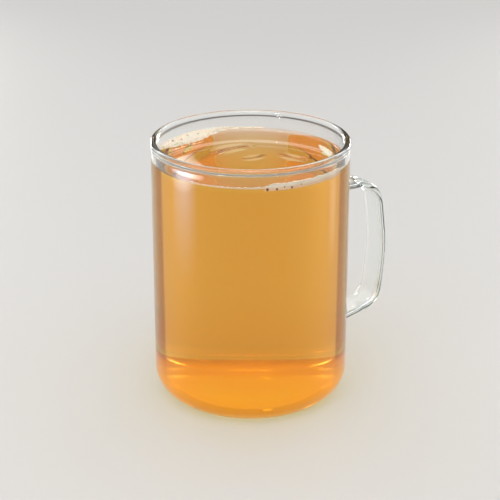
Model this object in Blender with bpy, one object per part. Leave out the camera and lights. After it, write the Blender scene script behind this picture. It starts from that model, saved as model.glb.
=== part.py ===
"""A straight-sided glass cup with a flat strap handle, filled with tea.

Metres, +Z up. The origin is the centre of the base's underside, and the handle points along +X.
"""
import math

import bmesh
import bpy

# Cup body
BODY_RADIUS = 0.0420
CUP_HEIGHT = 0.1150
WALL = 0.0023
FLOOR_THICKNESS = 0.0032
OUTER_FILLET = 0.0121
INNER_FILLET = 0.0098
SEGMENTS = 72
FILLET_STEPS = 7
MERGE_DISTANCE = 0.00001

# Rounded bead around the rim
BEAD_HEIGHT = 0.0032
BEAD_PROUD_OUTSIDE = 0.00025
BEAD_PROUD_INSIDE = 0.00035
BEAD_NECK = 0.0008
BEAD_TUCK_DEG = 35.0
BEAD_STEPS = 10

# Strap handle: its centre line is five corners, each with a bend radius, and starts and ends inside the wall
STRAP_WIDTH = 0.0132
STRAP_THICKNESS = 0.0028
ROOT_DEPTH = 0.0012
TOP_ARM_HEIGHT = 0.0864
LOWER_ARM_HEIGHT = 0.0236
UPPER_CORNER = (0.0622, 0.0868)
GRIP_BOW = (0.0660, 0.0565)
LOWER_CORNER = (0.0633, 0.0288)
UPPER_BEND = 0.0120
GRIP_BEND = 0.0800
LOWER_BEND = 0.0105
CORNER_SWELL = 0.0007
CORNER_SWELL_REACH = 0.0100
BEND_STEPS = 9
ROOT_FLARE_WIDTH = 0.0016
ROOT_FLARE_THICKNESS = 0.0014
ROOT_FLARE_REACH = 0.0042
ROOT_STEPS = 3
STRAP_SIDES = 16
STRAP_SQUARENESS = 4.0

# Tea: its level away from the wall, and the rise where it wets the glass
TEA_GAP = 0.0003
TEA_LEVEL = 0.1064
MENISCUS_RISE = 0.0007
MENISCUS_REACH = 0.0013
SURFACE_RINGS = 15
SURFACE_CROWDING = 1.5

# Stirred surface: rings of low waves, highest on one side
WAVE_LENGTH = 0.0095
WAVE_CREST = 0.0045
WAVE_HEIGHT = 0.00030
WAVE_SIDE_DEG = 80.0
WAVE_SIDE_SHARE = 0.4
WAVE_CALM = 0.0290

# Foam lying against the wall: middle and half of its spread round the cup, reach from the wall, height
FOAM_BANDS = (
    {"middle_deg": 107.0, "half_deg": 28.0, "reach": 0.0078, "height": 0.0011},
    {"middle_deg": 75.0, "half_deg": 26.0, "reach": 0.0016, "height": 0.0006},
    {"middle_deg": -82.0, "half_deg": 34.0, "reach": 0.0026, "height": 0.0012},
)
FOAM_EDGE = 0.0012
TUFT = {"radius": 0.0335, "middle_deg": -15.0, "half_deg": 13.0, "half_width": 0.0020, "height": 0.0008}


def clear_scene():
    for item in list(bpy.data.objects):
        bpy.data.objects.remove(item, do_unlink=True)


def arc(centre, radii, start_deg, end_deg, steps):
    """Points along an elliptical arc in the (radius, height) plane, both ends included."""
    points = []
    for step in range(steps + 1):
        angle = math.radians(start_deg + (end_deg - start_deg) * step / steps)
        points.append((centre[0] + radii[0] * math.cos(angle), centre[1] + radii[1] * math.sin(angle)))
    return points


def glass_profile():
    """Half section of the cup, from the middle of the underside, over the rim, to the middle of the floor."""
    inner_radius = BODY_RADIUS - WALL
    neck = CUP_HEIGHT - BEAD_HEIGHT - BEAD_NECK
    bead_middle = CUP_HEIGHT - BEAD_HEIGHT / 2
    outside = BODY_RADIUS + BEAD_PROUD_OUTSIDE
    inside = inner_radius - BEAD_PROUD_INSIDE
    crown_centre = ((outside + inside) / 2, bead_middle)
    crown_radii = ((outside - inside) / 2, BEAD_HEIGHT / 2)
    points = [(0.0, 0.0)]
    points += arc((BODY_RADIUS - OUTER_FILLET, OUTER_FILLET), (OUTER_FILLET, OUTER_FILLET),
                  -90.0, 0.0, FILLET_STEPS)
    points.append((BODY_RADIUS, neck))
    points += arc(crown_centre, crown_radii, -BEAD_TUCK_DEG, 180.0 + BEAD_TUCK_DEG, BEAD_STEPS)
    points.append((inner_radius, neck))
    points += arc((inner_radius - INNER_FILLET, FLOOR_THICKNESS + INNER_FILLET),
                  (INNER_FILLET, INNER_FILLET), 0.0, -90.0, FILLET_STEPS)
    points.append((0.0, FLOOR_THICKNESS))
    return points


def turned_mesh(name, profile):
    """A closed solid from a half section whose two ends lie on the Z axis."""
    mesh = bmesh.new()
    corners = [mesh.verts.new((radius, 0.0, height)) for radius, height in profile]
    edges = [mesh.edges.new(pair) for pair in zip(corners, corners[1:])]
    bmesh.ops.spin(mesh, geom=corners + edges, cent=(0.0, 0.0, 0.0), axis=(0.0, 0.0, 1.0),
                   angle=math.tau, steps=SEGMENTS, use_merge=True)
    bmesh.ops.remove_doubles(mesh, verts=mesh.verts, dist=MERGE_DISTANCE)
    bmesh.ops.recalc_face_normals(mesh, faces=mesh.faces)
    data = bpy.data.meshes.new(name)
    mesh.to_mesh(data)
    mesh.free()
    data.shade_smooth()
    return data


def rounded_path(corners, bends):
    """A path through the corners, with each inner corner replaced by an arc of its bend radius."""
    path = [corners[0]]
    for before, corner, after, bend in zip(corners, corners[1:], corners[2:], bends):
        into = unit(corner[0] - before[0], corner[1] - before[1])
        out = unit(after[0] - corner[0], after[1] - corner[1])
        turn = math.atan2(into[0] * out[1] - into[1] * out[0], into[0] * out[0] + into[1] * out[1])
        setback = bend * math.tan(abs(turn) / 2)
        side = math.copysign(1.0, turn)
        start = (corner[0] - into[0] * setback, corner[1] - into[1] * setback)
        centre = (start[0] - into[1] * bend * side, start[1] + into[0] * bend * side)
        for step in range(BEND_STEPS + 1):
            swing = turn * step / BEND_STEPS
            arm = (start[0] - centre[0], start[1] - centre[1])
            path.append((centre[0] + arm[0] * math.cos(swing) - arm[1] * math.sin(swing),
                         centre[1] + arm[0] * math.sin(swing) + arm[1] * math.cos(swing)))
    path.append(corners[-1])
    return path


def unit(across, up):
    length = math.hypot(across, up)
    return across / length, up / length


def add_root_stations(path):
    """Extra stations near both ends, so that the strap can spread where it meets the wall."""
    first = root_points(path[0], path[1])
    last = root_points(path[-1], path[-2])
    return first + path[1:-1] + last[::-1]


def root_points(end, towards):
    """Evenly spaced points from an end of the path to where its flare has died out."""
    along = unit(towards[0] - end[0], towards[1] - end[1])
    reach = ROOT_DEPTH + ROOT_FLARE_REACH
    distances = [reach * step / ROOT_STEPS for step in range(ROOT_STEPS + 1)]
    return [(end[0] + along[0] * distance, end[1] + along[1] * distance) for distance in distances]


def root_spread(point):
    """How far the strap has spread here: 1 at the wall, 0 from the flare's reach outwards."""
    beyond_wall = point[0] - BODY_RADIUS
    return max(0.0, 1.0 - max(0.0, beyond_wall) / ROOT_FLARE_REACH) ** 2


def corner_swell(point):
    """The glass is a little thicker where the strap turns."""
    nearest = min(math.dist(point, UPPER_CORNER), math.dist(point, LOWER_CORNER))
    return CORNER_SWELL * ease(1.0 - nearest / CORNER_SWELL_REACH)


def strap_mesh(name):
    """The handle: a flat strap with rounded edges, swept along its centre line."""
    root = BODY_RADIUS - ROOT_DEPTH
    corners = [(root, TOP_ARM_HEIGHT), UPPER_CORNER, GRIP_BOW, LOWER_CORNER, (root, LOWER_ARM_HEIGHT)]
    path = add_root_stations(rounded_path(corners, (UPPER_BEND, GRIP_BEND, LOWER_BEND)))
    mesh = bmesh.new()
    loops = []
    for index, point in enumerate(path):
        before = path[max(index - 1, 0)]
        after = path[min(index + 1, len(path) - 1)]
        along = unit(after[0] - before[0], after[1] - before[1])
        spread = root_spread(point)
        half_width = STRAP_WIDTH / 2 + ROOT_FLARE_WIDTH / 2 * spread
        half_thickness = (STRAP_THICKNESS + ROOT_FLARE_THICKNESS * spread + corner_swell(point)) / 2
        loops.append(strap_loop(mesh, point, along, half_width, half_thickness))
    for loop, following in zip(loops, loops[1:]):
        for index in range(STRAP_SIDES):
            beside = (index + 1) % STRAP_SIDES
            mesh.faces.new((loop[index], loop[beside], following[beside], following[index]))
    mesh.faces.new(loops[0])
    mesh.faces.new(loops[-1])
    bmesh.ops.recalc_face_normals(mesh, faces=mesh.faces)
    data = bpy.data.meshes.new(name)
    mesh.to_mesh(data)
    mesh.free()
    data.shade_smooth()
    return data


def strap_loop(mesh, point, along, half_width, half_thickness):
    """One cross-section of the strap: a squared oval, flat side towards the hand."""
    loop = []
    for index in range(STRAP_SIDES):
        angle = math.tau * (index + 0.5) / STRAP_SIDES
        sideways = squared(math.cos(angle)) * half_width
        outwards = squared(math.sin(angle)) * half_thickness
        loop.append(mesh.verts.new((point[0] - along[1] * outwards, sideways,
                                    point[1] + along[0] * outwards)))
    return loop


def squared(value):
    return math.copysign(abs(value) ** (2.0 / STRAP_SQUARENESS), value)


def angle_apart(first_deg, second_deg):
    return abs((first_deg - second_deg + 180.0) % 360.0 - 180.0)


def ease(value):
    clamped = min(max(value, 0.0), 1.0)
    return clamped * clamped * (3.0 - 2.0 * clamped)


def wave_height(radius, angle_deg):
    """Low rings left by stirring, which die out towards the wall."""
    side = 1.0 + WAVE_SIDE_SHARE * (math.cos(math.radians(angle_deg - WAVE_SIDE_DEG)) - 1.0)
    calm = 1.0 - ease((radius - WAVE_CALM + WAVE_LENGTH / 2) / WAVE_LENGTH)
    return WAVE_HEIGHT * side * calm * math.cos(math.tau * (radius - WAVE_CREST) / WAVE_LENGTH)


def foam_height(radius, angle_deg, wall_radius):
    """Height of the foam above the tea: bands along the wall, and one small tuft."""
    height = 0.0
    for band in FOAM_BANDS:
        share = angle_apart(angle_deg, band["middle_deg"]) / band["half_deg"]
        reach = band["reach"] * (1.0 - share * share)
        inside = (reach - (wall_radius - radius)) / FOAM_EDGE
        if share < 1.0:
            height = max(height, band["height"] * ease(inside))
    along = angle_apart(angle_deg, TUFT["middle_deg"]) / TUFT["half_deg"]
    across = abs(radius - TUFT["radius"]) / TUFT["half_width"]
    return max(height, TUFT["height"] * ease(1.0 - math.hypot(along, across)))


def surface_height(radius, angle_deg, wall_radius):
    meniscus = MENISCUS_RISE * math.exp((radius - wall_radius) / MENISCUS_REACH)
    return (TEA_LEVEL + meniscus + wave_height(radius, angle_deg)
            + foam_height(radius, angle_deg, wall_radius))


def surface_radii(wall_radius):
    """Ring radii of the tea's surface, closer together towards the wall."""
    shares = [(ring / SURFACE_RINGS) ** SURFACE_CROWDING for ring in range(SURFACE_RINGS + 1)]
    return [wall_radius * (1.0 - share) for share in shares]


def tea_mesh(name):
    """What fills the cup: the inside of the glass less the gap, closed by the stirred surface."""
    wall_radius = BODY_RADIUS - WALL - TEA_GAP
    fillet = INNER_FILLET - TEA_GAP
    floor = FLOOR_THICKNESS + TEA_GAP
    profile = [(0.0, floor)]
    profile += arc((wall_radius - fillet, floor + fillet), (fillet, fillet), -90.0, 0.0, FILLET_STEPS)
    profile += [(radius, TEA_LEVEL) for radius in surface_radii(wall_radius)]
    data = turned_mesh(name, profile)
    for vertex in data.vertices:
        if vertex.co.z > TEA_LEVEL - MERGE_DISTANCE:
            radius = math.hypot(vertex.co.x, vertex.co.y)
            angle_deg = math.degrees(math.atan2(vertex.co.y, vertex.co.x))
            vertex.co.z = surface_height(radius, angle_deg, wall_radius)
    return data


def make_material(name, colour, roughness, transmission, index):
    material = bpy.data.materials.new(name)
    material.use_nodes = True
    shader = material.node_tree.nodes["Principled BSDF"]
    shader.inputs["Base Color"].default_value = (*colour, 1.0)
    shader.inputs["Roughness"].default_value = roughness
    shader.inputs["Metallic"].default_value = 0.0
    shader.inputs["Transmission Weight"].default_value = transmission
    shader.inputs["IOR"].default_value = index
    return material


def add_object(name, data, material):
    item = bpy.data.objects.new(name, data)
    data.materials.append(material)
    bpy.context.scene.collection.objects.link(item)
    return item


def build_glass_cup():
    """Body and handle are one piece of glass."""
    glass = make_material("clear_glass", (0.93, 0.96, 0.95), 0.03, 1.0, 1.47)
    cup = add_object("glass_cup", turned_mesh("glass_cup", glass_profile()), glass)
    strap = add_object("handle_strap", strap_mesh("handle_strap"), glass)
    strap.hide_render = True
    strap.display_type = "WIRE"
    weld = cup.modifiers.new("weld_handle", "BOOLEAN")
    weld.operation = "UNION"
    weld.object = strap


def build_tea():
    amber = make_material("amber_tea", (0.80, 0.42, 0.10), 0.05, 0.6, 1.33)
    add_object("tea", tea_mesh("tea"), amber)


clear_scene()
build_glass_cup()
build_tea()
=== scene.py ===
import math

import bmesh
import bpy
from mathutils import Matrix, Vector, noise


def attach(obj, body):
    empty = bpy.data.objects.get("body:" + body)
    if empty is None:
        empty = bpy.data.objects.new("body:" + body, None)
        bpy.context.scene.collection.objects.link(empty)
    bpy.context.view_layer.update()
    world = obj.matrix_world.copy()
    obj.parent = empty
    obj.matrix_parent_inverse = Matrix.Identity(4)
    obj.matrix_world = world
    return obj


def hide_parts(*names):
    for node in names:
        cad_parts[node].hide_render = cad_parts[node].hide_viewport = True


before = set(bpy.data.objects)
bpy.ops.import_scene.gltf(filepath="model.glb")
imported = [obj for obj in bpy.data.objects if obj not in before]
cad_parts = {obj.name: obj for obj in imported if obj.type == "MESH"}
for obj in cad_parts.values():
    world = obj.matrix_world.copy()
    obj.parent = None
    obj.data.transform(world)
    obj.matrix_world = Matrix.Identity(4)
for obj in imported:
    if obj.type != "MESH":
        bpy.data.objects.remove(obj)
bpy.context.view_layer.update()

mm = 0.001
sharpDeg = 50.0    # an edge that turns by more than this stays sharp
scene = bpy.context.scene


# Node trees: maths on sockets is written with operators, and every other node comes from add

class Socket:
    def __init__(self, tree, socket):
        self.tree = tree
        self.socket = socket

    def maths(self, operation, other=0.0, reflected=False):
        first, second = (other, self) if reflected else (self, other)
        return self.tree.add("ShaderNodeMath", {"operation": operation}, {0: first, 1: second})["Value"]

    def __add__(self, other):
        return self.maths("ADD", other)

    def __radd__(self, other):
        return self.maths("ADD", other, reflected=True)

    def __sub__(self, other):
        return self.maths("SUBTRACT", other)

    def __rsub__(self, other):
        return self.maths("SUBTRACT", other, reflected=True)

    def __mul__(self, other):
        return self.maths("MULTIPLY", other)

    def __rmul__(self, other):
        return self.maths("MULTIPLY", other, reflected=True)

    def __truediv__(self, other):
        return self.maths("DIVIDE", other)

    def __pow__(self, other):
        return self.maths("POWER", other)

    def __lt__(self, other):
        return self.maths("LESS_THAN", other)

    def __gt__(self, other):
        return self.maths("GREATER_THAN", other)


class Made:
    def __init__(self, tree, node):
        self.tree = tree
        self.node = node

    def __getitem__(self, name):    # an output, by its name or its number
        return Socket(self.tree, self.node.outputs[name])


class NodeTree:
    def __init__(self, tree):
        self.tree = tree
        self.tree.nodes.clear()

    def add(self, kind, settings=None, values=None):
        node = self.tree.nodes.new(kind)
        for name, value in (settings or {}).items():
            if name == "stops":
                self.setStops(node.color_ramp, value)
            else:
                setattr(node, name, value)
        for name, value in (values or {}).items():
            if isinstance(value, Socket):
                self.tree.links.new(value.socket, node.inputs[name])
            else:
                node.inputs[name].default_value = value
        return Made(self, node)

    def setStops(self, ramp, stops):
        while len(ramp.elements) < len(stops):
            ramp.elements.new(1.0)
        for element, (place, colour) in zip(ramp.elements, stops):
            element.position = place
            element.color = (*colour, 1.0)


def newMaterial(name):
    material = bpy.data.materials.new(name)
    material.use_nodes = True
    return material, NodeTree(material.node_tree)


def opaque(colour):
    return colour if isinstance(colour, Socket) else (*colour, 1.0)


def blend(tree, share, first, second):    # the first colour where share is 0, the second where it is 1
    return tree.add("ShaderNodeMix", {"data_type": "RGBA"}, {
        "Factor": share, 6: opaque(first), 7: opaque(second)})[2]


def rise(tree, value, start, end, shape="SMOOTHSTEP"):    # 0 as far as the start, 1 from the end on
    return tree.add("ShaderNodeMapRange", {"interpolation_type": shape}, {
        "Value": value, "From Min": start, "From Max": end})["Result"]


def clouded(tree, place, scale, detail):
    return tree.add("ShaderNodeTexNoise", values={"Vector": place, "Scale": scale, "Detail": detail})["Fac"]


def vectorMaths(tree, operation, first, second=(0.0, 0.0, 0.0)):
    return tree.add("ShaderNodeVectorMath", {"operation": operation}, {0: first, 1: second})


def together(operation, masks):
    whole = masks[0]
    for mask in masks[1:]:
        whole = whole.maths(operation, mask)
    return whole


# Clear glass: nearly smooth, with faint draw lines in the wall, and open to lamps

glassLook = {
    "tint": (0.985, 0.995, 0.990),
    "index": 1.47,
    "wetIndex": 1.47 / 1.333,    # where the tea touches it, light bends only by the two indices' ratio
    "smearScale": 55.0,
    "smearRoughness": 0.012,
    "waveScale": 34.0,
    "waveStretch": (1.0, 1.0, 0.35),    # the waves run up the wall
    "waveHeight": 0.06 * mm,
    "passing": (0.96, 0.97, 0.965),
    "absorbed": (0.86, 0.95, 0.93),
    "density": 40.0,
    "innerMargin": 0.8 * mm,    # how far from the inner faces still counts as one of them
    "wetMargin": 0.4 * mm,    # how far over the tea's level the glass is wet
}


def openToLamps(tree, surface, colour):    # lamps shine straight through, so the tea and the floor are lit
    through = tree.add("ShaderNodeBsdfTransparent", values={"Color": opaque(colour)})
    path = tree.add("ShaderNodeLightPath")
    passing = path["Is Shadow Ray"].maths("MAXIMUM", path["Is Diffuse Ray"])
    return tree.add("ShaderNodeMixShader", values={0: passing, 1: surface, 2: through["BSDF"]})["Shader"]


def finishVolume(tree, look, shader):
    surface = openToLamps(tree, shader, look["passing"])
    inside = tree.add("ShaderNodeVolumeAbsorption", values={
        "Color": opaque(look["absorbed"]), "Density": look["density"]})
    tree.add("ShaderNodeOutputMaterial", values={"Surface": surface, "Volume": inside["Volume"]})


def fromAxis(parts):
    return (parts["X"] * parts["X"] + parts["Y"] * parts["Y"]) ** 0.5


def insideCup(parts):    # 1 on the cup's inner faces, 0 on its outer ones
    across = (fromAxis(parts) - (cup["radius"] - cup["wall"] - cup["innerFillet"])).maths("MAXIMUM", 0.0)
    down = (cup["floor"] + cup["innerFillet"] - parts["Z"]).maths("MAXIMUM", 0.0)
    gap = (across * across + down * down) ** 0.5
    return gap < cup["innerFillet"] + glassLook["innerMargin"]


def makeGlassMaterial(look):
    material, tree = newMaterial("clearGlass")
    place = tree.add("ShaderNodeTexCoord")["Object"]
    smear = clouded(tree, place, look["smearScale"], 3.0)
    drawn = tree.add("ShaderNodeMapping", values={"Vector": place, "Scale": look["waveStretch"]})["Vector"]
    waves = clouded(tree, drawn, look["waveScale"], 1.0)
    bump = tree.add("ShaderNodeBump", values={
        "Strength": 1.0, "Distance": look["waveHeight"], "Height": waves})["Normal"]
    parts = tree.add("ShaderNodeSeparateXYZ", values={"Vector": place})
    wet = insideCup(parts) * (parts["Z"] < tea["level"] + look["wetMargin"])
    dryGlass, wetGlass = [tree.add("ShaderNodeBsdfPrincipled", values={
        "Base Color": opaque(look["tint"]), "IOR": index, "Transmission Weight": 1.0,
        "Roughness": smear * look["smearRoughness"], "Normal": bump})["BSDF"]
        for index in (look["index"], look["wetIndex"])]
    glass = tree.add("ShaderNodeMixShader", values={0: wet, 1: dryGlass, 2: wetGlass})
    finishVolume(tree, look, glass["Shader"])
    return material


# Amber tea: its volume colours what shines through, and a settled, cloudier layer lies low in the cup

teaLook = {
    "index": 1.333,
    "absorbed": (0.982, 0.893, 0.28),
    "density": 42.0,
    "passing": (0.97, 0.88, 0.74),
    "wallTint": (1.0, 0.61, 0.45),
    "brimTint": (1.0, 0.72, 0.62),    # along the foam, where the tea is thin
    "brim": (104.9 * mm, 105.3 * mm),
    "leaving": (0.262, 0.270),    # steeper than this, light turns back at the glass's outer face
    # painted shade: the tea's sides turn brown where they slope away from the eye, lighter orange low down
    "edgeTint": (0.36, 0.13, 0.0),
    "edgeLowTint": (0.85, 0.50, 0.08),
    "edge": (0.231, 0.246),
    "edgeLow": (18.0 * mm, 27.0 * mm),
    "seenFirst": 1.5,    # the painted edge shade is for the wall nearest the eye, behind one face of glass
    "settledTint": (0.92, 0.64, 0.26),
    "settledColour": (0.67, 0.47, 0.025),
    # painted shade: more orange and a little darker towards the wall, where the lamps light the floor whiter
    "settledRim": (0.68, 0.40, 0.01),
    # painted shade: darker along the settled layer's top, where the floor turns up into the wall
    "settledEdge": (0.52, 0.28, 0.0),
    "settledHaze": 0.88,
    "edgeHaze": 0.65,
    "settledTop": (5.0 * mm, 5.4 * mm),
    "settledFloor": 3.3 * mm,
    "rim": (14.0 * mm, 25.0 * mm),
    "top": 1.0 * mm,    # the surface is looked for down to this far under the level
    "surfaceTint": (0.92, 0.88, 0.81),
    # painted shade: dark brown arcs on the surface where the ripples show shade
    "swirlTint": (0.17, 0.115, 0.035),
    "surfaceColour": (0.95, 0.66, 0.36),
    "surfaceHaze": 0.03,
    "cloudScale": 60.0,
    "cloudRoughness": 0.3,
}

# Centres of the stirring, in mm, for the painted shade arcs here and the low waves it leaves below
eddies = {"axis": (0.0, 0.0), "far": (1.2, 9.1), "side": (33.7, -1.3)}
rippleShadeArcs = (
    {"eddy": "axis", "radius": 15.2, "middleDeg": 97.0, "halfDeg": 44.0, "width": 2.9},
    {"eddy": "far", "radius": 10.1, "middleDeg": -86.0, "halfDeg": 38.0, "width": 1.9},
    {"eddy": "side", "radius": 20.0, "middleDeg": -162.0, "halfDeg": 22.0, "width": 1.6},
)
rippleShadeCore = 0.3    # the share of a painted shade arc's span that is fully dark


def rippleShadeMask(tree, place):    # 1 along the middle of a painted shade arc, fading out to its ends and sides
    flat = vectorMaths(tree, "MULTIPLY", place, (1.0, 1.0, 0.0))["Vector"]
    masks = []
    for shadeArc in rippleShadeArcs:
        middle = math.radians(shadeArc["middleDeg"])
        centre = (eddies[shadeArc["eddy"]][0] * mm, eddies[shadeArc["eddy"]][1] * mm, 0.0)
        offset = vectorMaths(tree, "SUBTRACT", flat, centre)["Vector"]
        distance = vectorMaths(tree, "LENGTH", offset)["Value"]
        ahead = vectorMaths(tree, "DOT_PRODUCT", offset, (math.cos(middle), math.sin(middle), 0.0))["Value"]
        ends = [math.cos(math.radians(shadeArc["halfDeg"] * share)) for share in (1.0, rippleShadeCore)]
        along = rise(tree, ahead / distance, *ends)
        beside = (distance - shadeArc["radius"] * mm).maths("ABSOLUTE")
        masks.append(along * rise(tree, beside, shadeArc["width"] * mm, 0.0))
    return together("MAXIMUM", masks)


def wallColour(tree, look, height, low):    # what the tea's sides let through, with painted shade turning them brown at the cup's edges
    facing = tree.add("ShaderNodeLayerWeight", values={"Blend": 0.5})["Facing"]
    outside = 1.0 - tree.add("ShaderNodeNewGeometry")["Backfacing"]
    crossed = tree.add("ShaderNodeLightPath")["Transmission Depth"]
    # painted shade at the edges, by how far the wall turns from the eye
    edge = rise(tree, facing, *look["edge"]) * outside * (crossed < look["seenFirst"])
    edgeShade = blend(tree, rise(tree, height, *look["edgeLow"]), look["edgeLowTint"], look["edgeTint"])
    wall = blend(tree, rise(tree, height, *look["brim"], "LINEAR"), look["wallTint"], look["brimTint"])
    straight = rise(tree, facing, look["leaving"][1], look["leaving"][0], "LINEAR")
    tint = blend(tree, straight, (1.0, 1.0, 1.0), wall)
    tint = blend(tree, edge, tint, edgeShade)
    return blend(tree, low, tint, look["settledTint"])


def makeTeaMaterial(look):
    material, tree = newMaterial("amberTea")
    place = tree.add("ShaderNodeTexCoord")["Object"]
    parts = tree.add("ShaderNodeSeparateXYZ", values={"Vector": place})
    height = parts["Z"]
    radius = fromAxis(parts)
    top = (height > tea["level"] - look["top"]) * (radius < cup["radius"] - cup["wall"] + tea["intoWall"] / 2)
    low = rise(tree, height, look["settledTop"][1], look["settledTop"][0])
    # deep rises over the settled layer's top, where its painted corner shade lies and its haze thins
    deep = rise(tree, height, look["settledFloor"], look["settledTop"][0])
    sides = tree.add("ShaderNodeBsdfPrincipled", values={    # the wet glass has bent the light already
        "Base Color": wallColour(tree, look, height, low), "IOR": 1.0, "Transmission Weight": 1.0,
        "Roughness": 0.0})
    # the surface's colour carries painted shade along the ripples' dark arcs
    surface = tree.add("ShaderNodeBsdfPrincipled", values={
        "Base Color": blend(tree, rippleShadeMask(tree, place), look["surfaceTint"], look["swirlTint"]),
        "IOR": look["index"], "Transmission Weight": 1.0, "Roughness": 0.0})
    clear = tree.add("ShaderNodeMixShader", values={0: top, 1: sides["BSDF"], 2: surface["BSDF"]})
    rim = rise(tree, radius, *look["rim"], "LINEAR")
    # painted shade towards the wall
    settled = blend(tree, rim, look["settledColour"], look["settledRim"])
    # painted shade in the corner where the floor meets the wall
    settled = blend(tree, deep, settled, look["settledEdge"])
    cloudy = tree.add("ShaderNodeBsdfPrincipled", values={
        "Base Color": blend(tree, low, look["surfaceColour"], settled), "IOR": look["index"],
        "Roughness": look["cloudRoughness"]})
    behind = tree.add("ShaderNodeNewGeometry")["Backfacing"]
    haze = look["settledHaze"] + deep * (look["edgeHaze"] - look["settledHaze"])
    clouds = clouded(tree, place, look["cloudScale"], 3.0)
    share = low * behind * haze + top * (clouds * (2.0 * look["surfaceHaze"]))
    drink = tree.add("ShaderNodeMixShader", values={0: share, 1: clear["Shader"], 2: cloudy["BSDF"]})
    finishVolume(tree, look, drink["Shader"])
    return material


# Foam: pale wet bubbles

foamLook = {
    "colour": (0.68, 0.61, 0.53),
    "shade": (0.60, 0.49, 0.37),
    "patchScale": 420.0,
    "window": (0.16, 0.06, 0.015),    # dark dots painted on the opaque foam: a painted view of the tea through large clear bubbles
    "windowEdge": (0.08 * mm, -0.12 * mm),
    "roughness": 0.25,
    "index": 1.33,
    "subsurface": 0.3,
    "subsurfaceScale": 1.0 * mm,
}
paintedWindows = (    # angle round the cup in degrees, then distance from the axis, height and radius in mm
    (-110.5, 39.7, 106.3, 0.62), (-105.0, 39.7, 106.2, 0.50), (-100.5, 39.7, 106.9, 0.34),
    (-96.0, 39.7, 106.3, 0.50), (-90.0, 39.7, 107.0, 0.30), (121.0, 38.4, 107.7, 0.62),
    (115.0, 36.6, 107.5, 0.45), (106.0, 38.2, 107.7, 0.55), (98.0, 37.4, 107.6, 0.40),
)


def makeFoamMaterial(look):
    material, tree = newMaterial("teaFoam")
    place = tree.add("ShaderNodeTexCoord")["Object"]
    patches = clouded(tree, place, look["patchScale"], 2.0)
    gaps = []
    for angleDeg, distance, height, size in paintedWindows:
        angle = math.radians(angleDeg)
        point = (distance * math.cos(angle) * mm, distance * math.sin(angle) * mm, height * mm)
        gaps.append(vectorMaths(tree, "DISTANCE", place, point)["Value"] - size * mm)
    # painted see-through dots: dark where the tea would show through a clear bubble
    clear = rise(tree, together("MINIMUM", gaps), *look["windowEdge"], "LINEAR")
    foamed = blend(tree, patches, look["shade"], look["colour"])
    bubbles = tree.add("ShaderNodeBsdfPrincipled", values={
        "Base Color": blend(tree, clear, foamed, look["window"]), "Roughness": look["roughness"],
        "IOR": look["index"], "Subsurface Weight": look["subsurface"],
        "Subsurface Scale": look["subsurfaceScale"]})
    tree.add("ShaderNodeOutputMaterial", values={"Surface": bubbles["BSDF"]})
    return material


# Shapes

def arc(centre, radii, startDeg, endDeg, steps):
    angles = [math.radians(startDeg + (endDeg - startDeg) * step / steps) for step in range(steps + 1)]
    return [(centre[0] + radii[0] * math.cos(angle), centre[1] + radii[1] * math.sin(angle))
            for angle in angles]


def upright(radius, start, end, steps):    # points up or down a straight wall
    return [(radius, start + (end - start) * step / steps) for step in range(steps + 1)]


def turn(name, profile, segments):    # a closed solid from a half section with both ends on the axis
    mesh = bmesh.new()
    rings = []
    for radius, height in profile:
        if radius < 1e-7:
            rings.append([mesh.verts.new((0.0, 0.0, height))])
        else:
            angles = [math.tau * step / segments for step in range(segments)]
            circle = [(radius * math.cos(angle), radius * math.sin(angle), height) for angle in angles]
            rings.append([mesh.verts.new(point) for point in circle])
    for lower, upper in zip(rings, rings[1:]):
        joinRings(mesh, lower, upper)
    bmesh.ops.recalc_face_normals(mesh, faces=mesh.faces)
    return finishMesh(name, mesh)


def joinRings(mesh, lower, upper):
    count = max(len(lower), len(upper))
    for step in range(count):
        beside = (step + 1) % count
        corners = [lower[step % len(lower)], lower[beside % len(lower)],
                   upper[beside % len(upper)], upper[step % len(upper)]]
        mesh.faces.new(list(dict.fromkeys(corners)))


def shade(data):
    data.shade_smooth()
    data.set_sharp_from_angle(angle=math.radians(sharpDeg))


def finishMesh(name, mesh):
    data = bpy.data.meshes.new(name)
    mesh.to_mesh(data)
    mesh.free()
    shade(data)
    item = bpy.data.objects.new(name, data)
    scene.collection.objects.link(item)
    return item


def applied(item):    # the mesh that the item's modifier leaves, with the modifier taken off
    graph = bpy.context.evaluated_depsgraph_get()
    data = bpy.data.meshes.new_from_object(item.evaluated_get(graph))
    item.modifiers.clear()
    return data


cup = {
    "radius": 42.0 * mm,
    "height": 115.0 * mm,
    "wall": 2.3 * mm,
    "floor": 3.2 * mm,
    "outerFillet": 12.1 * mm,
    "innerFillet": 9.8 * mm,
    "flat": (0.0, 12.0 * mm, 24.0 * mm),    # rings on the flat base and floor
    "segments": 240,
    "filletSteps": 26,
    "outerSteps": 36,
    "innerSteps": 12,
}
bead = {
    "height": 3.2 * mm,
    "outside": 0.25 * mm,
    "inside": 0.35 * mm,
    "neck": 0.8 * mm,
    "tuckDeg": 35.0,
    "steps": 30,
}
strap = {
    "width": 13.2 * mm,
    "thickness": 2.8 * mm,
    "rootRadius": 40.2 * mm,
    "topArm": 86.4 * mm,
    "lowerArm": 23.6 * mm,
    "corners": ((62.2 * mm, 86.8 * mm), (66.0 * mm, 56.5 * mm), (63.3 * mm, 28.8 * mm)),
    "bends": (12.0 * mm, 80.0 * mm, 10.5 * mm),
    "bendSteps": 24,
    "swell": 0.7 * mm,
    "swellReach": 10.0 * mm,
    "filletWidth": 1.6 * mm,
    "filletThickness": 1.5 * mm,
    "filletRounds": 6,
    "sides": 40,
    "squareness": 4.0,
    "spacing": 1.0 * mm,
}


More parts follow.
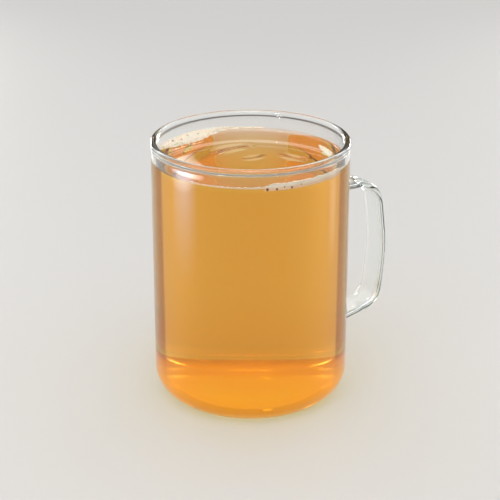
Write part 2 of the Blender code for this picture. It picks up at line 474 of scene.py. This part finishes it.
def cupProfile():
    inner = cup["radius"] - cup["wall"]
    neck = cup["height"] - bead["height"] - bead["neck"]
    middle = cup["height"] - bead["height"] / 2
    outside = cup["radius"] + bead["outside"]
    inside = inner - bead["inside"]
    low = cup["floor"] + cup["innerFillet"]
    points = [(radius, 0.0) for radius in cup["flat"]]
    points += arc((cup["radius"] - cup["outerFillet"], cup["outerFillet"]), (cup["outerFillet"],) * 2,
                  -90.0, 0.0, cup["filletSteps"])
    points += upright(cup["radius"], cup["outerFillet"], neck, cup["outerSteps"])[1:]
    points += arc(((outside + inside) / 2, middle), ((outside - inside) / 2, bead["height"] / 2),
                  -bead["tuckDeg"], 180.0 + bead["tuckDeg"], bead["steps"])
    points += upright(inner, neck, low, cup["innerSteps"])
    points += arc((inner - cup["innerFillet"], low), (cup["innerFillet"],) * 2,
                  0.0, -90.0, cup["filletSteps"])[1:]
    points += [(radius, cup["floor"]) for radius in reversed(cup["flat"])]
    return points


def unit(across, up):
    length = math.hypot(across, up)
    return across / length, up / length


def roundedPath(corners, bends, bendSteps):
    path = [corners[0]]
    for before, corner, after, bend in zip(corners, corners[1:], corners[2:], bends):
        into = unit(corner[0] - before[0], corner[1] - before[1])
        out = unit(after[0] - corner[0], after[1] - corner[1])
        swing = math.atan2(into[0] * out[1] - into[1] * out[0], into[0] * out[0] + into[1] * out[1])
        setback = bend * math.tan(abs(swing) / 2)
        side = math.copysign(1.0, swing)
        start = (corner[0] - into[0] * setback, corner[1] - into[1] * setback)
        centre = (start[0] - into[1] * bend * side, start[1] + into[0] * bend * side)
        arm = (start[0] - centre[0], start[1] - centre[1])
        for step in range(bendSteps + 1):
            part = swing * step / bendSteps
            path.append((centre[0] + arm[0] * math.cos(part) - arm[1] * math.sin(part),
                         centre[1] + arm[0] * math.sin(part) + arm[1] * math.cos(part)))
    path.append(corners[-1])
    return path


def resample(path, spacing):    # even stations along a path
    lengths = [math.dist(a, b) for a, b in zip(path, path[1:])]
    count = round(sum(lengths) / spacing)
    stations = []
    for index in range(count + 1):
        left = sum(lengths) * index / count
        leg = 0
        while leg < len(lengths) - 1 and left > lengths[leg]:
            left -= lengths[leg]
            leg += 1
        share = min(left / lengths[leg], 1.0)
        stations.append((path[leg][0] + (path[leg + 1][0] - path[leg][0]) * share,
                         path[leg][1] + (path[leg + 1][1] - path[leg][1]) * share))
    return stations


def ease(value):
    clamped = min(max(value, 0.0), 1.0)
    return clamped * clamped * (3.0 - 2.0 * clamped)


def rootFillet(reach, point):    # how far the strap has spread here, rounding into the wall
    beyond = max(0.0, math.hypot(point.x, point.y) - cup["radius"])
    gap = max(0.0, 1.0 - beyond / reach)
    return reach * (1.0 - math.sqrt(max(0.0, 1.0 - gap * gap)))


def rounded(value):    # a sine or cosine, squared off for the strap's section
    return math.copysign(abs(value) ** (2.0 / strap["squareness"]), value)


def strapRing(mesh, station, along):
    nearest = min(math.dist(station, strap["corners"][0]), math.dist(station, strap["corners"][2]))
    thickness = strap["thickness"] + strap["swell"] * ease(1.0 - nearest / strap["swellReach"])
    ring = []
    for side in range(strap["sides"]):
        angle = math.tau * (side + 0.5) / strap["sides"]
        spreadAcross = spreadOut = 0.0
        for _ in range(strap["filletRounds"]):    # the fillet depends on where the point ends up at the wall
            across = rounded(math.cos(angle)) * (strap["width"] / 2 + spreadAcross)
            out = rounded(math.sin(angle)) * (thickness / 2 + spreadOut)
            point = Vector((station[0] - along[1] * out, across, station[1] + along[0] * out))
            spreadAcross = rootFillet(strap["filletWidth"], point)
            spreadOut = rootFillet(strap["filletThickness"], point)
        ring.append(mesh.verts.new(point))
    return ring


def makeStrap():
    corners = [(strap["rootRadius"], strap["topArm"]), *strap["corners"],
               (strap["rootRadius"], strap["lowerArm"])]
    path = resample(roundedPath(corners, strap["bends"], strap["bendSteps"]), strap["spacing"])
    mesh = bmesh.new()
    rings = []
    for index, station in enumerate(path):
        before = path[max(index - 1, 0)]
        after = path[min(index + 1, len(path) - 1)]
        rings.append(strapRing(mesh, station, unit(after[0] - before[0], after[1] - before[1])))
    for ring, following in zip(rings, rings[1:]):
        joinRings(mesh, ring, following)
    mesh.faces.new(rings[0])
    mesh.faces.new(rings[-1])
    bmesh.ops.recalc_face_normals(mesh, faces=mesh.faces)
    return finishMesh("strapHandle", mesh)


def fuse(item, other):    # one closed body from two, with other used up
    weld = item.modifiers.new("fuse", "BOOLEAN")
    weld.operation = "UNION"
    weld.object = other
    item.data = applied(item)
    shade(item.data)
    bpy.data.objects.remove(other)


def makeCup():
    body = turn("clearGlassCup", cupProfile(), cup["segments"])
    fuse(body, makeStrap())
    body.data.materials.append(makeGlassMaterial(glassLook))
    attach(body, "root")
    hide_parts("glass_cup")
    print("cup and handle made:", len(body.data.polygons), "faces")


# Tea: fills the cup just into the wall, with a stirred surface

tea = {
    "intoWall": 0.1 * mm,
    "level": 106.4 * mm,
    "meniscus": 0.7 * mm,
    "meniscusReach": 1.3 * mm,
    "wallSteps": 12,
    "rings": 90,
    "crowding": 1.15,    # over 1, the rings stand closer together at the wall
}
# Low waves left by stirring, in mm, round the eddies: a trough has a height below zero
stirArcs = (
    {"eddy": "axis", "radius": 12.6, "middleDeg": 96.0, "halfDeg": 50.0, "width": 2.2, "height": 0.36},
    {"eddy": "axis", "radius": 17.2, "middleDeg": 96.0, "halfDeg": 50.0, "width": 2.2, "height": -0.40},
    {"eddy": "far", "radius": 11.4, "middleDeg": -90.0, "halfDeg": 44.0, "width": 1.4, "height": 0.26},
    {"eddy": "far", "radius": 8.6, "middleDeg": -90.0, "halfDeg": 44.0, "width": 1.4, "height": -0.26},
    {"eddy": "side", "radius": 21.5, "middleDeg": -156.0, "halfDeg": 28.0, "width": 1.5, "height": 0.34},
    {"eddy": "side", "radius": 18.5, "middleDeg": -156.0, "halfDeg": 28.0, "width": 1.5, "height": -0.34},
    {"eddy": "axis", "radius": 21.0, "middleDeg": 205.0, "halfDeg": 60.0, "width": 3.4, "height": 0.12},
)


def apart(firstDeg, secondDeg):
    return abs((firstDeg - secondDeg + 180.0) % 360.0 - 180.0)


def stirHeight(x, y):
    height = 0.0
    for wave in stirArcs:
        centre = eddies[wave["eddy"]]
        right, far = x / mm - centre[0], y / mm - centre[1]
        along = apart(math.degrees(math.atan2(far, right)), wave["middleDeg"]) / wave["halfDeg"]
        across = (math.hypot(right, far) - wave["radius"]) / wave["width"]
        if along < 1.0:
            height += wave["height"] * mm * math.exp(-across * across) * (1.0 - ease(along))
    return height


def surfaceHeight(radius, angleDeg, wall):
    lift = tea["meniscus"] * math.exp((radius - wall) / tea["meniscusReach"])
    angle = math.radians(angleDeg)
    return tea["level"] + lift + stirHeight(radius * math.cos(angle), radius * math.sin(angle))


def makeTea():
    wall = cup["radius"] - cup["wall"] + tea["intoWall"]
    low = cup["floor"] - tea["intoWall"]
    fillet = cup["innerFillet"] + tea["intoWall"]
    profile = [(radius, low) for radius in cup["flat"]]
    profile += arc((wall - fillet, low + fillet), (fillet,) * 2, -90.0, 0.0, cup["filletSteps"])
    profile += upright(wall, low + fillet, tea["level"], tea["wallSteps"])[1:-1]
    for step in range(tea["rings"] + 1):
        profile.append((wall * (1.0 - (step / tea["rings"]) ** tea["crowding"]), tea["level"]))
    drink = turn("amberTea", profile, cup["segments"])
    for vertex in drink.data.vertices:
        if vertex.co.z > tea["level"] - 0.01 * mm:
            radius = math.hypot(vertex.co.x, vertex.co.y)
            angleDeg = math.degrees(math.atan2(vertex.co.y, vertex.co.x))
            vertex.co.z = surfaceHeight(radius, angleDeg, wall)
    drink.data.materials.append(makeTeaMaterial(teaLook))
    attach(drink, "root")
    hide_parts("tea")
    print("tea made:", len(drink.data.polygons), "faces")


# Foam: beds lying along the wall and one loose tuft, each strewn with small bubbles

foamBeds = (    # angles round the cup, then in mm the height, the depth and the reach at even steps
    {"startDeg": 52.0, "endDeg": 137.0, "height": 1.0, "depth": 0.6,
     "reach": (0.4, 0.5, 0.6, 0.8, 1.6, 3.9, 6.4, 7.4, 7.6, 6.6, 5.6, 2.6, 0.3)},
    {"startDeg": -112.0, "endDeg": -50.0, "height": 1.3, "depth": 1.2,
     "reach": (0.6, 2.2, 2.7, 2.6, 2.4, 2.2, 1.8, 1.2, 0.4)},
    {"startDeg": -157.0, "endDeg": -112.0, "height": 0.3, "depth": 0.3,
     "reach": (0.2, 0.3, 0.4, 0.5, 0.7)},
)
tuft = {
    "radius": 33.3,
    "middleDeg": -15.0,
    "halfDeg": 12.0,
    "halfWidth": 1.5,
    "height": 0.7,
    "lift": 0.03 * mm,
    "depth": 0.4 * mm,
    "wobble": 0.45,
    "flatness": 2.5,
    "rings": 8,
    "sides": 64,
}
foam = {
    "wall": 39.78 * mm,
    "stepDeg": 0.6,
    "rows": 14,
    "edge": 1.2 * mm,
    "narrowest": 0.2 * mm,
    "fullHeight": 1.5 * mm,    # a bed that reaches less far than this is lower too
    "lift": 0.05 * mm,
    "sink": 0.15 * mm,
    "wobble": 0.5,
    "lumps": 0.35,
}
bubbles = {
    "Smallest": 0.14 * mm,
    "Largest": 0.42 * mm,
    "Spacing": 0.42 * mm,
    "Upright": 0.15,    # bubbles sit where the foam faces up more than this
    "Seed": 7,
}


def between(values, share):    # a value at this share of the way along an even row of values
    place = min(max(share, 0.0), 1.0) * (len(values) - 1)
    index = min(int(place), len(values) - 2)
    return values[index] + (values[index + 1] - values[index]) * (place - index)


def ragged(angleDeg, scale, salt):    # an uneven edge, the same at every run
    return noise.noise(Vector((angleDeg * scale, salt, 0.0)))


def bedRows(bed, angleDeg, share):    # (radius, top, underside) from the wall to the inner edge
    reach = between(bed["reach"], share) * mm
    uneven = ragged(angleDeg, 0.16, 3.0) + 0.5 * ragged(angleDeg, 0.55, 8.0)
    reach = max(reach * (1.0 + foam["wobble"] * uneven), foam["narrowest"])
    rows = []
    for row in range(foam["rows"] + 1):
        inward = reach * row / foam["rows"]
        radius = foam["wall"] - inward
        body = ease((reach - inward) / min(foam["edge"], reach))
        lumps = 1.0 + foam["lumps"] * noise.noise(Vector((angleDeg * 0.35, inward / mm * 0.8, 1.0)))
        base = surfaceHeight(radius, angleDeg, foam["wall"])
        swell = bed["height"] * mm * body * lumps * min(reach / foam["fullHeight"], 1.0)
        rows.append((radius, base + swell + foam["lift"], base - bed["depth"] * mm * body - foam["sink"]))
    return rows


def makeBed(mesh, bed):
    count = round((bed["endDeg"] - bed["startDeg"]) / foam["stepDeg"])
    loops = []
    for step in range(count + 1):
        angleDeg = bed["startDeg"] + (bed["endDeg"] - bed["startDeg"]) * step / count
        angle = math.radians(angleDeg)
        rows = bedRows(bed, angleDeg, step / count)
        section = [(radius, top) for radius, top, under in rows]
        section += [(radius, under) for radius, top, under in reversed(rows)]
        loops.append([mesh.verts.new((r * math.cos(angle), r * math.sin(angle), z)) for r, z in section])
    for loop, following in zip(loops, loops[1:]):
        joinRings(mesh, loop, following)
    mesh.faces.new(loops[0])
    mesh.faces.new(loops[-1])


def makeTuft(mesh):
    sides = tuft["sides"]
    rings = []
    for ring in range(tuft["rings"] + 1):
        share = ring / tuft["rings"]
        points = []
        for step in range(sides):
            turned = math.tau * step / sides
            spread = share * (1.0 + tuft["wobble"] * ragged(step, 0.21, 5.0))
            angle = math.radians(tuft["middleDeg"] + tuft["halfDeg"] * spread * math.cos(turned))
            radius = (tuft["radius"] + tuft["halfWidth"] * spread * math.sin(turned)) * mm
            height = surfaceHeight(radius, math.degrees(angle), foam["wall"])
            height += tuft["height"] * mm * (1.0 - share ** tuft["flatness"]) + tuft["lift"]
            points.append(mesh.verts.new((radius * math.cos(angle), radius * math.sin(angle), height)))
        rings.append(points)
    under = [mesh.verts.new((point.co.x, point.co.y, point.co.z - tuft["depth"])) for point in rings[-1]]
    for ring, following in zip(rings[1:], rings[2:] + [under]):
        joinRings(mesh, ring, following)
    bmesh.ops.remove_doubles(mesh, verts=rings[0], dist=0.001 * mm)
    middle = next(point for point in rings[0] if point.is_valid)
    for step in range(sides):
        mesh.faces.new((middle, rings[1][step], rings[1][(step + 1) % sides]))
    mesh.faces.new(under)


def bubbleTree():
    group = bpy.data.node_groups.new("bubbles", "GeometryNodeTree")
    for name, kind in (("Geometry", "NodeSocketGeometry"), ("Smallest", "NodeSocketFloat"),
                       ("Largest", "NodeSocketFloat"), ("Spacing", "NodeSocketFloat"),
                       ("Upright", "NodeSocketFloat"), ("Seed", "NodeSocketInt"),
                       ("Material", "NodeSocketMaterial")):
        group.interface.new_socket(name, in_out="INPUT", socket_type=kind)
    group.interface.new_socket("Geometry", in_out="OUTPUT", socket_type="NodeSocketGeometry")
    tree = NodeTree(group)
    given = tree.add("NodeGroupInput")
    normal = tree.add("GeometryNodeInputNormal")["Normal"]
    up = tree.add("ShaderNodeSeparateXYZ", values={"Vector": normal})["Z"]
    facingUp = tree.add("FunctionNodeCompare", {"data_type": "FLOAT", "operation": "GREATER_THAN"}, {
        0: up, 1: given["Upright"]})
    points = tree.add("GeometryNodeDistributePointsOnFaces", {"distribute_method": "POISSON"}, {
        "Mesh": given["Geometry"], "Selection": facingUp["Result"], "Distance Min": given["Spacing"],
        "Density Max": 9.0e6, "Seed": given["Seed"]})
    bubble = tree.add("GeometryNodeMeshUVSphere", values={"Segments": 9, "Rings": 6, "Radius": 1.0})
    chance = tree.add("FunctionNodeRandomValue", {"data_type": "FLOAT"}, {
        2: 0.0, 3: 1.0, "Seed": given["Seed"]})[1]
    size = given["Smallest"] + (given["Largest"] - given["Smallest"]) * chance ** 3.0    # most are small
    turned = tree.add("FunctionNodeRandomValue", {"data_type": "FLOAT_VECTOR"}, {
        0: (0.0, 0.0, 0.0), 1: (3.0, 3.0, 3.0), "Seed": given["Seed"]})
    strewn = tree.add("GeometryNodeInstanceOnPoints", values={
        "Points": points["Points"], "Instance": bubble["Mesh"], "Rotation": turned["Value"], "Scale": size})
    joined = tree.add("GeometryNodeJoinGeometry", values={"Geometry": strewn["Instances"]})
    tree.tree.links.new(given["Geometry"].socket, joined.node.inputs["Geometry"])
    real = tree.add("GeometryNodeRealizeInstances", values={"Geometry": joined["Geometry"]})
    smooth = tree.add("GeometryNodeSetShadeSmooth", values={"Geometry": real["Geometry"]})
    painted = tree.add("GeometryNodeSetMaterial", values={
        "Geometry": smooth["Geometry"], "Material": given["Material"]})
    tree.add("NodeGroupOutput", values={"Geometry": painted["Geometry"]})
    return group


def strew(item, group, values):    # run the tree once and keep its mesh
    modifier = item.modifiers.new("bubbles", "NODES")
    modifier.node_group = group
    inputs = [socket for socket in group.interface.items_tree if socket.in_out == "INPUT"]
    identifiers = {socket.name: socket.identifier for socket in inputs}
    for name, value in values.items():
        modifier[identifiers[name]] = value
    item.data = applied(item)


def makeFoam():
    mesh = bmesh.new()
    for bed in foamBeds:
        makeBed(mesh, bed)
    makeTuft(mesh)
    bmesh.ops.recalc_face_normals(mesh, faces=mesh.faces)
    item = finishMesh("teaFoam", mesh)
    material = makeFoamMaterial(foamLook)
    strew(item, bubbleTree(), {**bubbles, "Material": material})
    item.data.materials.clear()
    item.data.materials.append(material)
    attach(item, "root")
    print("foam made:", len(item.data.polygons), "faces")


# Studio: a pale floor, soft lights, and the camera where the photograph was taken from

view = {
    "turnDeg": -30.0,    # the handle points right and away from the camera
    "tiltDeg": 21.93,
    "distance": 621.7 * mm,
    "height": 314.7 * mm,
    "sideways": -0.24 * mm,
    "lens": 111.9,
    "sensor": 36.0,
}
floorLook = {"colour": (0.42, 0.415, 0.41), "roughness": 0.6, "size": 4.0, "gap": 0.15 * mm}
warmWhite = (1.0, 0.97, 0.92)
# Places and aims are right of, beyond and above the cup as the camera sees it, in metres. A rising lamp is
# brightest along its top, and one that is only reflected doesn't show through the tea from the sides.
lamps = (
    {"name": "overhead", "place": (0.0, -0.40, 1.0), "aim": (0.0, 0.0, 0.0), "size": (0.8, 0.8),
     "watts": 5.0, "colour": (1.0, 0.98, 0.95)},
    {"name": "leftCard", "place": (-0.165, -0.05, 0.038), "aim": (0.0, -0.02, 0.107), "size": (0.110, 0.075),
     "watts": 0.016, "colour": (0.12, 0.50, 1.0), "spreadDeg": 80.0, "rising": True, "onlyReflected": True},
    {"name": "leftTop", "place": (-0.165, -0.05, 0.063), "aim": (0.0, -0.02, 0.132), "size": (0.110, 0.021),
     "watts": 0.003, "colour": (0.92, 0.97, 1.0), "spreadDeg": 80.0, "onlyReflected": True},
    {"name": "rightCard", "place": (0.190, 0.03, 0.040), "aim": (0.0, 0.0, 0.05), "size": (0.050, 0.080),
     "watts": 0.006, "colour": (0.80, 0.90, 1.0), "onlyReflected": True},
    {"name": "keyLeft", "place": (-0.55, -0.70, 0.80), "aim": (0.0, 0.0, 0.06), "size": (0.16, 0.16),
     "watts": 1.2, "colour": (1.0, 0.98, 0.96)},
    {"name": "backLeft", "place": (-0.66, 0.93, 0.74), "aim": (0.0, 0.0, 0.05), "size": (0.34, 0.30),
     "watts": 0.8, "colour": warmWhite},
    {"name": "backRight", "place": (0.66, 0.93, 0.74), "aim": (0.0, 0.0, 0.05), "size": (0.34, 0.30),
     "watts": 0.8, "colour": warmWhite},
    {"name": "lowLeft", "place": (-0.40, 0.85, 0.110), "aim": (0.0, 0.0, 0.05), "size": (0.26, 0.20),
     "watts": 0.16, "colour": warmWhite, "spreadDeg": 60.0},
    {"name": "lowRight", "place": (0.43, 0.84, 0.110), "aim": (0.0, 0.0, 0.05), "size": (0.26, 0.20),
     "watts": 0.16, "colour": warmWhite, "spreadDeg": 60.0},
    {"name": "backHigh", "place": (-0.10, 1.15, 0.70), "aim": (0.0, 0.0, 0.05), "size": (0.07, 0.06),
     "watts": 0.02, "colour": warmWhite},
    {"name": "backMiddle", "place": (-0.10, 1.15, 0.50), "aim": (0.0, 0.0, 0.05), "size": (0.07, 0.06),
     "watts": 0.03, "colour": warmWhite},
)
softbox = {"rise": 1.5, "power": 2.25}    # the power gives back what fading towards the edges takes


def grey(level):
    return (level, level, level)


# The dome by the sine of its height: softboxes all round, which start higher up beyond the cup
domeBehind = ((0.0, grey(0.08)), (0.12, grey(0.08)), (0.20, (0.22, 0.17, 0.11)), (0.40, (0.22, 0.17, 0.11)),
              (0.46, grey(0.75)), (0.77, grey(0.75)), (0.85, grey(0.50)))
domeAround = ((0.0, grey(0.30)), (0.12, grey(0.45)), (0.30, grey(0.70)), (0.46, grey(1.0)),
              (0.77, grey(1.0)), (0.85, grey(0.50)))
domeTurn = (0.78, 0.94)    # how squarely beyond the cup the one dome passes into the other
domeStrength = 1.6


def studioPoint(right, away, up):
    turnBy = math.radians(view["turnDeg"])
    return Vector((right * math.cos(turnBy) - away * math.sin(turnBy),
                   right * math.sin(turnBy) + away * math.cos(turnBy), up))


def makeCamera():
    camera = bpy.data.objects.new("camera", bpy.data.cameras.new("camera"))
    camera.data.lens = view["lens"]
    camera.data.sensor_width = view["sensor"]
    camera.location = studioPoint(view["sideways"], -view["distance"], view["height"])
    camera.rotation_euler = (math.radians(90.0 - view["tiltDeg"]), 0.0, math.radians(view["turnDeg"]))
    scene.collection.objects.link(camera)
    scene.camera = camera


def makeFloor():
    mesh = bmesh.new()
    bmesh.ops.create_grid(mesh, x_segments=1, y_segments=1, size=floorLook["size"] / 2)
    bmesh.ops.translate(mesh, verts=mesh.verts, vec=(0.0, 0.0, -floorLook["gap"]))
    ground = finishMesh("floor", mesh)
    material, tree = newMaterial("paleFloor")
    paint = tree.add("ShaderNodeBsdfPrincipled", values={
        "Base Color": opaque(floorLook["colour"]), "Roughness": floorLook["roughness"]})
    tree.add("ShaderNodeOutputMaterial", values={"Surface": paint["BSDF"]})
    ground.data.materials.append(material)


def makeLamp(lamp):
    light = bpy.data.lights.new(lamp["name"], "AREA")
    light.shape = "RECTANGLE"
    light.size, light.size_y = lamp["size"]
    light.energy = lamp["watts"]
    light.color = lamp["colour"]
    light.spread = math.radians(lamp.get("spreadDeg", 180.0))
    light.use_nodes = True
    tree = NodeTree(light.node_tree)
    across = tree.add("ShaderNodeNewGeometry")["Parametric"]
    parts = tree.add("ShaderNodeSeparateXYZ", values={"Vector": across})
    along, up = parts["X"], parts["Y"]
    fade = along * (1.0 - along) * 4.0
    fade = fade * up ** softbox["rise"] if "rising" in lamp else fade * (up * (1.0 - up) * 4.0)
    glow = tree.add("ShaderNodeEmission", values={"Strength": fade * softbox["power"]})
    tree.add("ShaderNodeOutputLight", values={"Surface": glow["Emission"]})
    item = bpy.data.objects.new(lamp["name"], light)
    item.location = studioPoint(*lamp["place"])
    aim = studioPoint(*lamp["aim"]) - item.location
    item.rotation_euler = aim.to_track_quat("-Z", "Y").to_euler()
    item.visible_camera = False
    item.visible_transmission = "onlyReflected" not in lamp
    scene.collection.objects.link(item)


def makeDome():
    world = bpy.data.worlds.new("studio")
    world.use_nodes = True
    sky = NodeTree(world.node_tree)
    outward = sky.add("ShaderNodeTexCoord")["Generated"]
    height = sky.add("ShaderNodeSeparateXYZ", values={"Vector": outward})["Z"]
    behind = sky.add("ShaderNodeValToRGB", {"stops": domeBehind}, {"Fac": height})["Color"]
    around = sky.add("ShaderNodeValToRGB", {"stops": domeAround}, {"Fac": height})["Color"]
    away = vectorMaths(sky, "DOT_PRODUCT", outward, studioPoint(0.0, 1.0, 0.0))["Value"]
    dome = blend(sky, rise(sky, away, *domeTurn, "LINEAR"), around, behind)
    glow = sky.add("ShaderNodeBackground", values={"Color": dome, "Strength": domeStrength})
    sky.add("ShaderNodeOutputWorld", values={"Surface": glow["Background"]})
    scene.world = world


def setLightPaths():    # enough bounces for glass in front of tea in front of glass
    scene.view_settings.view_transform = "Standard"
    scene.cycles.caustics_refractive = False
    scene.cycles.caustics_reflective = False
    scene.cycles.max_bounces = 24
    scene.cycles.transmission_bounces = 20
    scene.cycles.transparent_max_bounces = 24


makeCamera()
makeFloor()
for lamp in lamps:
    makeLamp(lamp)
makeDome()
setLightPaths()
print("studio made:", len(lamps), "lamps")
makeCup()
makeTea()
makeFoam()
